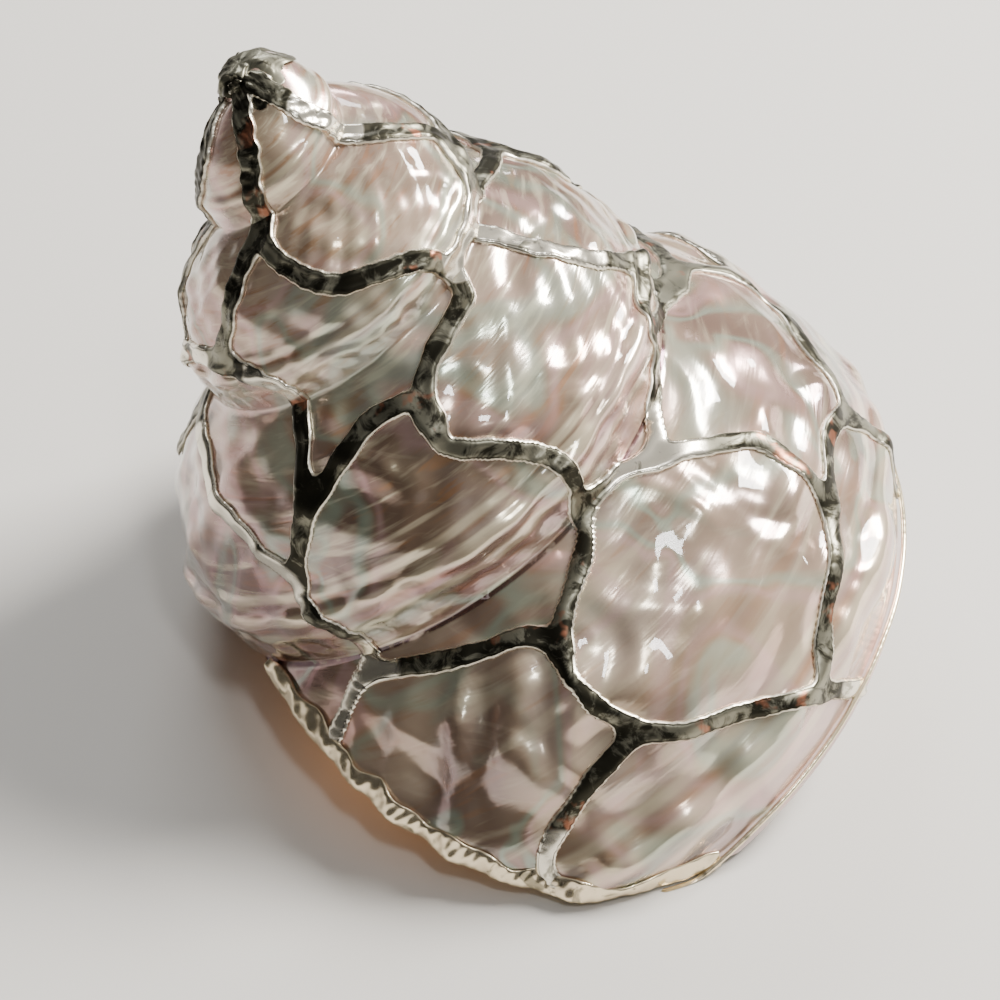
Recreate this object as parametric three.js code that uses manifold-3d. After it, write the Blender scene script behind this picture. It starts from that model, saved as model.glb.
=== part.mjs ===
// A polished turban shell, dextral, with a net of soldered silver bands, resting on its open base.
// Units are millimetres, +Z is up and the shell stands on the plane z = 0.
// The shell is a tube that grows along a spiral round its own axis. A place on it is (turn, t):
// turn counts whorls from the tip, and t runs from the seam above a whorl (0) to its rim (1).
import * as THREE from 'three';
import { mergeVertices } from 'three/addons/utils/BufferGeometryUtils.js';
import Module from 'manifold-3d';

const wasm = await Module();
wasm.setup();

// Growth of the spiral: radius and drop below the tip, both exponential in the turn.
const FIRST_TURN = -0.503;
const RADIUS_SCALE = 24.88;
const RADIUS_RATE = 0.2596;
const DROP_SCALE = 22.29;
const DROP_RATE = 0.3995;

// Cross-section of a whorl, as shares of the width between its two seams.
const BULGE = 0.66;
const KEEL = 0.035;
const KEEL_AT = 0.81;
const KEEL_WIDTH = 0.07;

// Base, pillar and mouth.
const PILLAR_RADIUS = 6;
const PILLAR_DROP = 88;
const CEILING_DROP = 64;
const BASE_SAG = -2;
const BASE_SWELL = 10;
const BASE_SWELL_TURN = 2.45;
const BASE_SWELL_WIDTH = 0.17;
const WALL = 2.2;
const SLIVER = 0.02;
const FILLED_TO = 2.2;
const TIP_GROUND = 1.3;
const MOUTH_FLOOR_TURN = 2.8;

// Pose: spin about the shell's own axis, lean towards -X, swing about Z, then set down on z = 0.
const SPIN = THREE.MathUtils.degToRad(-153.8);
const LEAN = THREE.MathUtils.degToRad(24.1);
const SWING = THREE.MathUtils.degToRad(-9.1);
const TIP = [-33.85, 10.71, 81.1];

// Silver.
const BAND_WIDTH = 2.8;
const BAND_GAP = 0.8;
const CAP_GAP = 1.1;
const BAND_THICK = 0.6;
const LIP_GAP = 0.4;
const SOLDER_GAP = 0.3;
const WIRE_RADIUS = 0.6;
const WIRE_END = 2.2;
const BEAD_AT = 0.965;
const LIP_THICK = 0.6;
const LIP_COVER = 3.2;
const BAND_STEP = 5.5;

const POSE = new THREE.Matrix4().makeRotationZ(SWING)
  .multiply(new THREE.Matrix4().makeRotationY(-LEAN))
  .multiply(new THREE.Matrix4().makeRotationZ(SPIN))
  .setPosition(...TIP);

const mix = (a, b, s) => a + (b - a) * s;
const smooth = (a, b, x) => THREE.MathUtils.smoothstep(x, a, b);

function seam(turn) {
  const grown = Math.max(turn - FIRST_TURN, 0);
  return [
    RADIUS_SCALE * (Math.exp(RADIUS_RATE * grown) - 1),
    DROP_SCALE * (Math.exp(DROP_RATE * grown) - 1),
  ];
}

// Section through the outer wall: the chord between two seams, swollen outwards, with a keel.
function wall(turn, t) {
  const [r0, h0] = seam(turn);
  const [r1, h1] = seam(turn + 1);
  const keel = KEEL * Math.exp(-(((t - KEEL_AT) / KEEL_WIDTH) ** 2));
  const swell = BULGE * t * (1 - t) + keel;
  return [mix(r0, r1, t) + swell * (h1 - h0), mix(h0, h1, t) - swell * (r1 - r0)];
}

// Every section reaches in to here, inside the pillar or, near the tip, inside the spire.
const coreRadius = (radius) => Math.min(PILLAR_RADIUS - 1, 0.4 * radius);

// Section through the base: from the rim (q = 0) in to the pillar (q = 1).
function base(turn, q) {
  const [r, h] = seam(turn + 1);
  const foot = mix(CEILING_DROP, PILLAR_DROP, smooth(1.86, 2.14, turn));
  const swell = BASE_SAG + BASE_SWELL * Math.exp(-(((turn - BASE_SWELL_TURN) / BASE_SWELL_WIDTH) ** 2));
  const rise = swell * smooth(1.9, 2.1, turn) * 4 * q * (1 - q);
  return [mix(r, coreRadius(r), q), mix(h, foot, q) + rise];
}

// A section point turned to its place round the axis. Growth runs clockwise seen from the tip.
function place([radius, drop], turn) {
  const angle = -2 * Math.PI * turn;
  return new THREE.Vector3(radius * Math.cos(angle), radius * Math.sin(angle), -drop).applyMatrix4(POSE);
}

// A point on the outer wall; t past 0 or 1 carries on over the seam onto the next whorl.
function onWall(turn, t) {
  const whorls = Math.floor(t);
  return place(wall(turn + whorls, t - whorls), turn + whorls);
}

function wallNormal(turn, t) {
  const step = 0.012;
  const along = onWall(turn + step, t).sub(onWall(turn - step, t));
  const down = onWall(turn, t + step).sub(onWall(turn, t - step));
  return along.cross(down).normalize();
}

// The edge of the mouth: the turn at which the outer wall ends, for each t.
const LIP_LINE = new THREE.CatmullRomCurve3(
  [[0, 2.955], [0.1, 2.91], [0.3, 2.868], [0.6, 2.826], [0.83, 2.79], [1, 2.74]]
    .map(([t, turn]) => new THREE.Vector3(t, turn, 0)),
);

function lipTurn(t) {
  const at = THREE.MathUtils.clamp(t, 0, 1);
  let low = 0;
  let high = 1;
  for (let i = 0; i < 24; i += 1) {
    const middle = (low + high) / 2;
    if (LIP_LINE.getPoint(middle).x < at) low = middle;
    else high = middle;
  }
  return LIP_LINE.getPoint(low).y;
}

// A closed geometry as a solid. Vertices are shared by index, so coincident points do no harm.
function toSolid(geometry) {
  return new wasm.Manifold(new wasm.Mesh({
    numProp: 3,
    vertProperties: new Float32Array(geometry.attributes.position.array),
    triVerts: new Uint32Array(geometry.index.array),
  }));
}

function mergedSolid(geometry) {
  geometry.deleteAttribute('normal');
  geometry.deleteAttribute('uv');
  return toSolid(mergeVertices(geometry, 1e-5));
}

// Joining leaves specks and slivers where faces nearly touch: they go, and the one real body is kept.
function largestBody(solid) {
  return solid.simplify(SLIVER).decompose().sort((a, b) => b.volume() - a.volume())[0];
}

function toGeometry(solid) {
  const { vertProperties, triVerts } = largestBody(solid).getMesh();
  const geometry = new THREE.BufferGeometry();
  geometry.setAttribute('position', new THREE.BufferAttribute(new Float32Array(vertProperties), 3));
  geometry.setIndex(new THREE.BufferAttribute(new Uint32Array(triVerts), 1));
  return geometry;
}

// A closed solid through a row of like-numbered loops. Each end is filled by quads from side to side.
function sweep(loops) {
  const size = loops[0].length;
  const last = (loops.length - 1) * size;
  const index = [];
  for (let i = 0; i < last; i += size) {
    for (let j = 0; j < size; j += 1) {
      const next = (j + 1) % size;
      index.push(i + j, i + next, i + next + size, i + j, i + next + size, i + j + size);
    }
  }
  for (let j = 0; j < size - 2 - j; j += 1) {
    const far = size - 1 - j;
    index.push(j, far - 1, j + 1, last + j, last + j + 1, last + far - 1);
    if (far < size) index.push(j, far, far - 1, last + j, last + far - 1, last + far);
  }
  const positions = loops.flat().flatMap((p) => p.toArray());
  const geometry = new THREE.BufferGeometry();
  geometry.setAttribute('position', new THREE.Float32BufferAttribute(positions, 3));
  geometry.setIndex(volume(positions, index) < 0 ? index.toReversed() : index);
  return toSolid(geometry);
}

function volume(positions, index) {
  const corner = (k) => new THREE.Vector3(...positions.slice(3 * index[k], 3 * index[k] + 3));
  let sum = 0;
  for (let k = 0; k < index.length; k += 3) sum += corner(k).dot(corner(k + 1).cross(corner(k + 2)));
  return sum;
}

// Sections are lists of [section point, turn]; each point is turned to its own place.
function sweepSections(sections) {
  return sweep(sections.map((section) => section.map(([point, turn]) => place(point, turn))));
}

// A section point moved in from the surface, square to the direction of the next point.
const INSET_STEP = 0.01;

function inset([x, y], [nextX, nextY], depth) {
  const length = Math.hypot(nextX - x, nextY - y) || 1;
  return [x - depth * (nextY - y) / length, y + depth * (nextX - x) / length];
}

// Filled whorl: down the wall, in along the base and back up inside the spire.
const WALL_STEPS = [-0.05, 0.05, 0.14, 0.25, 0.37, 0.5, 0.62, 0.72, 0.79, 0.83, 0.88, 0.94, 1];
const BASE_STEPS = [0.2, 0.4, 0.6, 0.8, 1];

function filledSection(turn) {
  const [radius, drop] = seam(turn);
  const points = WALL_STEPS.map((t) => wall(turn, t));
  for (const q of BASE_STEPS) points.push(base(turn, q));
  points.push([coreRadius(radius), 0.8 * drop]);
  return points.map((point) => [point, turn]);
}

function filledWhorls(from, to) {
  let solid;
  for (let start = from; start < to - 0.01; start += 0.4) {
    const sections = [];
    for (let i = 0; i <= 8; i += 1) sections.push(filledSection(start + 0.05 * i));
    const stretch = sweepSections(sections);
    solid = solid ? solid.add(stretch) : stretch;
  }
  return solid;
}

// Hollow last whorl: an outer face and an inner one, drawn back to the slanted edge of the mouth.
function hollowSection(share) {
  const wallTurn = (t) => mix(FILLED_TO - 0.1, lipTurn(t), share);
  const baseTurn = (q) => mix(FILLED_TO - 0.1, mix(lipTurn(1), MOUTH_FLOOR_TURN, q), share);
  const outer = WALL_STEPS.map((t) => [wall(wallTurn(t), t), wallTurn(t)]);
  const inner = WALL_STEPS.slice(0, -1).map((t) => {
    const turn = wallTurn(t);
    return [inset(wall(turn, t), wall(turn, t + INSET_STEP), WALL), turn];
  });
  for (const q of BASE_STEPS) {
    const turn = baseTurn(q);
    const point = base(turn, q);
    outer.push([point, turn]);
    inner.push([[point[0], point[1] - WALL], turn]);
  }
  return [...outer, ...inner.reverse()];
}

function mouthWhorl() {
  const count = 16;
  const sections = [];
  for (let i = 0; i <= count; i += 1) sections.push(hollowSection(i / count));
  return sweepSections(sections);
}

// The twisted pillar that the whorls grow round, with the solid heart of the spire above it.
function pillar() {
  const outline = [[0, -PILLAR_DROP - 0.6], [4, -PILLAR_DROP], [PILLAR_RADIUS, -PILLAR_DROP + 3],
    [PILLAR_RADIUS, -56], [18, -46], [9, -22], [4.5, -9], [2.2, -3], [1.1, -1.2], [0, -1]];
  const geometry = new THREE.LatheGeometry(outline.map(([x, y]) => new THREE.Vector2(x, y)), 20);
  geometry.rotateX(Math.PI / 2);
  geometry.applyMatrix4(POSE);
  return mergedSolid(geometry);
}

// Everything below the resting plane is taken off, so that the shell stands on small worn flats.
function table() {
  const geometry = new THREE.BoxGeometry(300, 300, 40);
  geometry.translate(0, 0, -20);
  return mergedSolid(geometry);
}

// The tip is ground off square under its silver cap.
function groundTip() {
  const geometry = new THREE.BoxGeometry(20, 20, 20);
  geometry.translate(0, 0, 10 - TIP_GROUND);
  geometry.applyMatrix4(POSE);
  return mergedSolid(geometry);
}

function shellSolid() {
  const whole = pillar().add(filledWhorls(-1.4, FILLED_TO)).add(mouthWhorl());
  return whole.subtract(groundTip()).subtract(lipSilver(SOLDER_GAP)).subtract(table());
}

// Silver bands, each a run of [turn, t] points from one joint of the net to the next.
const BANDS = [
  [[-0.17, 0.02], [-0.17, 0.45], [-0.15, 0.8], [-0.14, 1.06]],
  [[0.86, 0.06], [0.83, 0.27], [0.78, 0.53], [0.74, 0.62], [0.7, 0.74], [0.67, 0.93]],
  [[0.86, 0.06], [0.89, 0.2], [0.91, 0.45], [0.93, 0.67]],
  [[0.93, 0.67], [0.98, 0.67], [1.03, 0.75]],
  [[0.93, 0.67], [0.9, 0.76], [0.87, 0.88], [0.86, 1.1], [0.86, 1.37]],
  [[1.86, 0.37], [1.83, 0.26], [1.8, 0.18], [1.77, 0.2], [1.76, 0.3]],
  [[1.86, 0.37], [1.87, 0.5], [1.88, 0.7], [1.86, 0.9], [1.86, 1.04]],
  [[1.88, 0.62], [1.92, 0.4], [1.95, 0.3], [1.98, 0.16], [2.04, 0.06]],
  [[0.04, 0.02], [-0.02, 0.36], [0.03, 0.79], [0.06, 1.15], [0.05, 1.45], [0.03, 1.75]],
  [[-0.28, 0.12], [-0.33, 0.65], [-0.37, 1], [-0.42, 1.32], [-0.45, 1.58], [-0.44, 1.76]],
  [[0.56, 0.76], [0.58, 0.86], [0.62, 0.9], [0.67, 0.93]],
  [[0.59, 0.86], [0.56, 0.96], [0.51, 1.08], [0.46, 1.2]],
  [[0.62, 0.9], [0.61, 1.12], [0.6, 1.35], [0.56, 1.73]],
  [[1.56, 0.73], [1.59, 0.8], [1.61, 0.95], [1.66, 1.07]],
  [[0.67, 0.93], [0.68, 1.06], [0.72, 1.1], [0.75, 1.17], [0.76, 1.3]],
  [[1.76, 0.3], [1.76, 0.42], [1.73, 0.58], [1.71, 0.75], [1.71, 0.97]],
  [[1.71, 0.97], [1.68, 1.01], [1.66, 1.07]],
  [[2.66, 0.07], [2.64, 0.16], [2.62, 0.3], [2.62, 0.44], [2.62, 0.58]],
  [[1.71, 0.97], [1.72, 1.05], [1.75, 1.15], [1.76, 1.22]],
  [[2.76, 0.22], [2.77, 0.14], [2.8, 0.1], [2.83, 0.07], [2.86, 0.04]],
  [[2.86, 0.04], [2.87, 0.08], [2.885, 0.2]],
  [[2.76, 0.22], [2.76, 0.34], [2.75, 0.5]],
  [[2.75, 0.5], [2.775, 0.55], [2.8, 0.65], [2.803, 0.75]],
  [[2.75, 0.5], [2.735, 0.58], [2.71, 0.68], [2.68, 0.83]],
  [[2.68, 0.83], [2.66, 0.97]],
  [[2.68, 0.83], [2.665, 0.73], [2.64, 0.65], [2.62, 0.58]],
  [[2.62, 0.58], [2.59, 0.53], [2.57, 0.6], [2.56, 0.81], [2.56, 0.96]],
  [[1.6, 0.84], [1.53, 1.06], [1.5, 1.15], [1.5, 1.33]],
  [[2.5, 0.33], [2.51, 0.44], [2.54, 0.48], [2.57, 0.62]],
  [[1.56, 0.73], [1.53, 0.9], [1.525, 1.07]],
  [[-0.75, 0.5], [-0.74, 0.95], [-0.75, 1.3]],
  [[0.25, 0.3], [0.33, 0.5], [0.42, 0.55], [0.5, 0.66], [0.56, 0.76]],
  [[0.25, 0.3], [0.17, 0.55], [0.12, 0.9], [0.1, 1.2], [0.08, 1.5], [0.03, 1.75]],
  [[0.46, 1.2], [0.4, 1.22], [0.34, 1.28], [0.3, 1.35]],
  [[0.3, 1.35], [0.27, 1], [0.26, 0.65], [0.25, 0.3]],
  [[1.3, 0.35], [1.27, 0.55], [1.22, 0.8]],
  [[1.22, 0.8], [1.15, 0.7], [1.09, 0.68], [1.03, 0.75]],
  [[1.46, 0.2], [1.48, 0.45], [1.45, 0.75], [1.44, 1.15]],
  [[1.44, 1.15], [1.48, 1.12], [1.52, 1.07]],
  [[1.22, 0.8], [1.21, 1.05], [1.2, 1.3]],
  [[2.44, 0.15], [2.41, 0.28], [2.36, 0.42]],
  [[2.36, 0.42], [2.3, 0.36], [2.25, 0.28], [2.2, 0.3]],
  [[2.36, 0.42], [2.37, 0.62], [2.36, 0.82], [2.36, 0.97]],
  [[2.36, 0.42], [2.43, 0.37], [2.5, 0.33]],
  [[2.2, 0.3], [2.18, 0.46], [2.14, 0.62]],
  [[2.04, 0.06], [2.06, 0.3], [2.09, 0.5], [2.14, 0.62]],
  [[2.14, 0.62], [2.15, 0.8], [2.16, 0.92]],
  [[1.03, 0.75], [1.05, 0.9], [1.04, 1.06]],
];

// A flat band lying on the wall: a rectangle carried along its curve, its back a gap off the shell.
function band(points) {
  const curve = new THREE.CatmullRomCurve3(points.map(([turn, t]) => new THREE.Vector3(turn, t, 0)));
  const rough = curve.getPoints(24).map((p) => onWall(p.x, p.y));
  const length = rough.slice(1).reduce((sum, p, i) => sum + p.distanceTo(rough[i]), 0);
  const count = Math.max(3, Math.round(length / BAND_STEP));
  const loops = [];
  for (let i = 0; i <= count; i += 1) {
    const at = curve.getPoint(i / count);
    const tangent = curve.getTangent(i / count);
    const reach = 0.004;
    const ahead = onWall(at.x + reach * tangent.x, at.y + reach * tangent.y);
    const normal = wallNormal(at.x, at.y);
    const middle = onWall(at.x, at.y);
    const along = ahead.sub(middle).normalize();
    const across = along.cross(normal).normalize();
    loops.push([[-1, 0], [1, 0], [1, 1], [-1, 1]].map(([side, top]) => middle.clone()
      .addScaledVector(across, side * BAND_WIDTH / 2)
      .addScaledVector(normal, BAND_GAP + top * BAND_THICK)));
  }
  return sweep(loops);
}

// Radius of the spire at a share of a turn, at a drop below the tip.
function tipRadius(share, drop) {
  let radius = 0;
  for (const turn of [share - 2, share - 1, share]) {
    for (let t = 0; t <= 1; t += 0.02) {
      const [r, h] = wall(turn, t);
      if (h <= drop) radius = Math.max(radius, r);
    }
  }
  return radius;
}

// The crumpled silver cap soldered over the tip: a thin bell that follows the spire all round.
function cap() {
  const sides = 14;
  const drops = [0.6, 1.8, 3.4, 5.4];
  const widest = (drop) => Math.max(...Array.from({ length: sides }, (_, i) => tipRadius(i / sides, drop)));
  const inner = drops.map((drop) => new THREE.Vector2(widest(drop) + CAP_GAP, -drop));
  const outer = drops.map((drop) => new THREE.Vector2(widest(drop) + CAP_GAP + BAND_THICK, 0.5 - drop));
  const outline = [new THREE.Vector2(0, 0.7), ...inner, ...outer.reverse(), new THREE.Vector2(0, 1.4)];
  const geometry = new THREE.LatheGeometry(outline, sides);
  geometry.rotateX(Math.PI / 2);
  const position = geometry.attributes.position;
  for (let i = 0; i < position.count; i += 1) {
    const [x, y, z] = [position.getX(i), position.getY(i), position.getZ(i)];
    const radius = Math.hypot(x, y);
    const share = THREE.MathUtils.euclideanModulo(-Math.atan2(y, x) / (2 * Math.PI), 1);
    const pull = radius > 0.1 ? 1 - (widest(-z) - tipRadius(share, -z)) / radius : 1;
    position.setXY(i, x * pull, y * pull);
  }
  geometry.applyMatrix4(POSE);
  return mergedSolid(geometry);
}

function netSolid() {
  const net = BANDS.map(band).reduce((sum, solid) => sum.add(solid), cap());
  return net.subtract(lipSilver(SOLDER_GAP)).subtract(table());
}

// A frame on the lip: its edge point, the way out past the edge, and the wall's normal.
function lipFrame(t) {
  const turn = lipTurn(t);
  const edge = onWall(turn, t);
  const along = onWall(lipTurn(t + 0.01), t + 0.01).sub(onWall(lipTurn(t - 0.01), t - 0.01)).normalize();
  const normal = wallNormal(turn, t);
  const outward = along.cross(normal).normalize();
  if (outward.dot(onWall(turn + 0.01, t).sub(edge)) < 0) outward.negate();
  return { edge, outward, normal };
}

// Silver folded over the edge of the mouth, a channel along the lip. spare thickens it all round.
function lipChannel(spare) {
  const near = LIP_GAP - spare;
  const far = LIP_GAP + LIP_THICK + spare;
  const outerEnd = -LIP_COVER - spare;
  const innerEnd = 1 - LIP_COVER - spare;
  const outline = [[outerEnd, far], [far, far], [far, -WALL - far], [innerEnd, -WALL - far],
    [innerEnd, -WALL - near], [near, -WALL - near], [near, near], [outerEnd, near]];
  const count = 20;
  const loops = [];
  for (let i = 0; i <= count; i += 1) {
    const { edge, outward, normal } = lipFrame(mix(0.06 - 0.03 * spare, 0.94 + 0.03 * spare, i / count));
    loops.push(outline.map(([x, y]) => edge.clone().addScaledVector(outward, x).addScaledVector(normal, y)));
  }
  return sweep(loops);
}

// Where the bead lies on the outer face, just above the sharp rim.
function beadPoint(turn) {
  return onWall(turn, BEAD_AT).addScaledVector(wallNormal(turn, BEAD_AT), LIP_GAP + WIRE_RADIUS);
}

// A wire bead that carries on from the channel round the rim. spare thickens it all round.
function rimWire(spare) {
  const points = [0.88, 0.93].map((t) => {
    const { edge, outward, normal } = lipFrame(t);
    return edge.addScaledVector(outward, LIP_GAP).addScaledVector(normal, LIP_GAP + WIRE_RADIUS);
  });
  for (let turn = 2.74; turn > WIRE_END; turn -= 0.03) points.push(beadPoint(turn));
  const sides = Array.from({ length: 6 }, (_, i) => i * Math.PI / 3);
  const radius = WIRE_RADIUS + spare;
  const shape = new THREE.Shape(sides.map((a) => new THREE.Vector2(radius * Math.cos(a), radius * Math.sin(a))));
  return mergedSolid(new THREE.ExtrudeGeometry(shape, {
    steps: 36,
    bevelEnabled: false,
    extrudePath: new THREE.CatmullRomCurve3(points),
  }));
}

const lipSilver = (spare) => lipChannel(spare).add(rimWire(spare));

const SILVER = { color: 0x9a9888, roughness: 0.25, metalness: 1 };

function addPart(group, name, solid, look) {
  const mesh = new THREE.Mesh(toGeometry(solid), new THREE.MeshStandardMaterial(look));
  mesh.name = name;
  group.add(mesh);
}

const model = new THREE.Group();
addPart(model, 'shell', shellSolid(), { color: 0xcdbfb2, roughness: 0.2, metalness: 0 });
addPart(model, 'silver_net', netSolid(), SILVER);
addPart(model, 'lip_binding', lipSilver(0).subtract(table()), SILVER);

export default model;
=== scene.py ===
import bmesh
import bpy
import numpy as np
from mathutils import Matrix, Vector


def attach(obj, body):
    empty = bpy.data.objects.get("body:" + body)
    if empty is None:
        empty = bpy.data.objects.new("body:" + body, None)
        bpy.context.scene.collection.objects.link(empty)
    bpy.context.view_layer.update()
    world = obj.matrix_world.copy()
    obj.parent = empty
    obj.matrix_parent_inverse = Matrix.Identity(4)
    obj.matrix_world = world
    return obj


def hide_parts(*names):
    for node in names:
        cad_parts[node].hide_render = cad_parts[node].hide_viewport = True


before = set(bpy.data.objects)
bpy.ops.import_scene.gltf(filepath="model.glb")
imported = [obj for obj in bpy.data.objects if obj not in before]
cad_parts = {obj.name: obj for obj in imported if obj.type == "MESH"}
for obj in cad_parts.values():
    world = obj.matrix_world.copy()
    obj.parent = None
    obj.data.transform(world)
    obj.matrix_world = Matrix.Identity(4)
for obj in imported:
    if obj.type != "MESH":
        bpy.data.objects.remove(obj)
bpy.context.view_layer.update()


# ---- Form of the shell -------------------------------------------------------------------------
# The shell is a tube that grew along a spiral round its own axis, coiling to the right.
# A place on its outside is (turn, t): turn counts whorls from the tip, and t runs from the seam
# above a whorl (0) to its rim (1), so that (turn, 1) and (turn + 1, 0) are the same place.
MM = 0.001
FIRST_TURN = -0.503
RADIUS_SCALE, RADIUS_RATE = 24.88, 0.2596
DROP_SCALE, DROP_RATE = 22.29, 0.3995
BULGE, KEEL, KEEL_AT, KEEL_WIDTH = 0.66, 0.035, 0.81, 0.07
TIP = np.array([-33.85, 10.71, 81.1])
SPIN, LEAN, SWING = np.radians([-153.8, 24.1, -9.1])
POSE = np.array(Matrix.Rotation(SWING, 3, "Z") @ Matrix.Rotation(-LEAN, 3, "Y")
                @ Matrix.Rotation(SPIN, 3, "Z"))
LAST_TURN = 2.95
FILLED_TO = 2.1
WALL = 2.2
LAST_WIDTH = 60.0
TABLE_SOFTNESS = 0.5


def smooth(low, high, x):
    """0 below low, 1 above high and an S-curve between; low may be above high."""
    s = np.clip((x - low) / (high - low), 0, 1)
    return s * s * (3 - 2 * s)


def bell(x, middle, width):
    """A bell of height 1 round middle."""
    return np.exp(-(((x - middle) / width) ** 2))


def seam(turn):
    """Radius and drop of the seam above a whorl: scale times (exp(rate times growth) - 1)."""
    grown = np.maximum(turn - FIRST_TURN, 0)
    return RADIUS_SCALE * np.expm1(RADIUS_RATE * grown), DROP_SCALE * np.expm1(DROP_RATE * grown)


def section(turn, t):
    """Radius and drop on the wall: the chord between two seams, swollen square to itself, with a keel."""
    r0, h0 = seam(turn)
    r1, h1 = seam(turn + 1)
    swell = BULGE * t * (1 - t) + KEEL * bell(t, KEEL_AT, KEEL_WIDTH)
    return r0 + (r1 - r0) * t + swell * (h1 - h0), h0 + (h1 - h0) * t - swell * (r1 - r0)


def place(radius, drop, turn):
    """A section point turned to its place round the axis, in millimetres."""
    angle = -2 * np.pi * turn
    local = np.stack([radius * np.cos(angle), radius * np.sin(angle), -drop + 0 * angle], -1)
    return local @ POSE.T + TIP


def unit(vectors):
    """Vectors scaled to length 1."""
    return vectors / np.maximum(np.linalg.norm(vectors, axis=-1, keepdims=True), 1e-9)


def on_wall(turn, t):
    """A point on the outer wall; t past 0 or 1 carries on over the seam onto the next whorl."""
    whorls = np.floor(t)
    return place(*section(turn + whorls, t - whorls), turn + whorls)


def wall_normal(turn, t):
    """The wall's outward direction, from its slopes along turn and t."""
    step = 0.008
    t = np.clip(t, step, 1 - step)
    along = place(*section(turn + step, t), turn + step) - place(*section(turn - step, t), turn - step)
    down = place(*section(turn, t + step), turn) - place(*section(turn, t - step), turn)
    return unit(np.cross(along, down))


def whorl_size(turn):
    """Width of a whorl as a share of the last one's."""
    r0, h0 = seam(turn)
    r1, h1 = seam(turn + 1)
    return np.hypot(r1 - r0, h1 - h0) / LAST_WIDTH


def waves(turn, t, terms):
    """A sum of sines over the wall: each term is height, waves per turn, waves per t and phase."""
    return sum(a * np.sin(2 * np.pi * (f * turn + g * t) + phase) for a, f, g, phase in terms)


# Each wave is its height, its waves per turn and per t, and its phase. SWAY is in t, the rest in mm.
LUMPS = [(0.6, 13, 1.3, 0.4), (0.42, 21, -2.2, 1.9), (0.3, 8, 3.1, 4.0), (0.25, 34, 1.7, 2.6)]
DENTS = [(0.5, 7, 2.1, 0.9), (0.5, 12, -1.9, 3.3), (0.42, 19, 3.3, 5.0), (0.3, 27, -4.6, 1.2)]
FOLDS = [(0.9, 34, -2.3, 0.6), (0.25, 55, -3.5, 2.2)]
SWAY = [(0.012, 5, 0, 0.3), (0.008, 11, 0, 1.7), (0.004, 23, 0, 4.1)]


def relief(turn, t):
    """Height of the worn growth marks in mm: lumps on the keel, dents, folds and spiral swells."""
    early = smooth(0.35, 0.9, turn)
    keel = waves(turn, t, LUMPS) * bell(t, 0.78, 0.14) * 0.8
    dents = waves(turn, t, DENTS) * bell(t, 0.42, 0.34) * 0.8
    folds = waves(turn, t, FOLDS) * bell(turn - 0.065 * t, 2.79, 0.055) * bell(t, 0.32, 0.2) * 1.25
    swells = 0.5 * np.sin(2 * np.pi * (5.2 * t + 3 * turn)) * bell(turn, 2.62, 0.12) * bell(t, 0.5, 0.25)
    riblets = 0.35 * np.sin(2 * np.pi * (44 * turn + 5 * t)) * bell(t, 0.92, 0.05) * smooth(2.1, 1.95, turn)
    at = t + waves(turn, t, SWAY)
    cords = 0.6 * bell(at, 0.70, 0.02) + 1.0 * bell(at, 0.79, 0.024) + 0.65 * bell(at, 0.87, 0.018)
    cords = cords * (1 - 0.75 * smooth(2.3, 2.5, turn)) * early
    fade = smooth(0, 0.12, t) * smooth(1, 0.93, t)
    return (early * (keel + dents + riblets) + folds + swells + cords) * fade * whorl_size(turn)


def surface(turn, t, height=0.0):
    """The finished outer face, raised by a height in mm along its outward direction."""
    lift = relief(turn, t) + height
    return place(*section(turn, t), turn) + np.asarray(lift)[..., None] * wall_normal(turn, t)


def on_table(points):
    """Points kept above the resting plane, low heights pressed together just above it.

    The height z becomes (z + sqrt(z * z + softness)) / 2, which rises with z and is never below 0.
    """
    z = points[..., 2:]
    return np.concatenate([points[..., :2], 0.5 * (z + np.sqrt(z**2 + TABLE_SOFTNESS))], -1)


def curve(points, spacing=0.02):
    """A smooth curve through points: each stretch is a cubic whose end slopes follow its neighbours."""
    points = np.array(points, float)
    before = np.vstack([2 * points[0] - points[1], points[:-1]])
    after = np.vstack([points[1:], 2 * points[-1] - points[-2]])
    slopes = (after - before) / 2
    samples = []
    for i in range(len(points) - 1):
        s = np.arange(0, 1, spacing)[:, None]
        rest = 1 - s
        samples.append(points[i] * rest**2 * (1 + 2 * s) + points[i + 1] * s**2 * (3 - 2 * s)
                       + slopes[i] * s * rest**2 - slopes[i + 1] * s**2 * rest)
    return np.vstack(samples + [points[-1:]])


LIP_LINE = curve([(0, 2.95), (0.1, 2.91), (0.3, 2.868), (0.6, 2.826), (0.83, 2.79), (1, 2.74)])


def lip_turn(t):
    """The turn at which the wall ends at the mouth."""
    return np.interp(t, LIP_LINE[:, 0], LIP_LINE[:, 1])


def drawn_to_lip(turn, t):
    """Turns of the last whorl drawn back so that its last row lies on the slanted lip."""
    share = np.clip((turn - 2.2) / (LAST_TURN - 2.2), 0, 1)
    return np.where(turn > 2.2, 2.2 + share * (lip_turn(t) - 2.2), turn)


def patch(points, chart, marks, closed=False):
    """A grid of points as a patch: points, faces, chart and marks for each vertex.

    The chart is (turn, t). The marks of the shell are 0 and how far inside it is, and those of the
    silver are the distance to its edge in mm and how rubbed it is.
    """
    rows, columns = points.shape[:2]
    index = np.arange(rows * columns).reshape(rows, columns)
    right = np.roll(index, -1, axis=1) if closed else index[:, 1:]
    left = index if closed else index[:, :-1]
    faces = np.stack([left[:-1], left[1:], right[1:], right[:-1]], -1).reshape(-1, 4)
    spread = [np.broadcast_to(a, (rows, columns)).ravel() for a in (*chart, *marks)]
    return points.reshape(-1, 3), faces, np.stack(spread[:2], -1), np.stack(spread[2:], -1)


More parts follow.
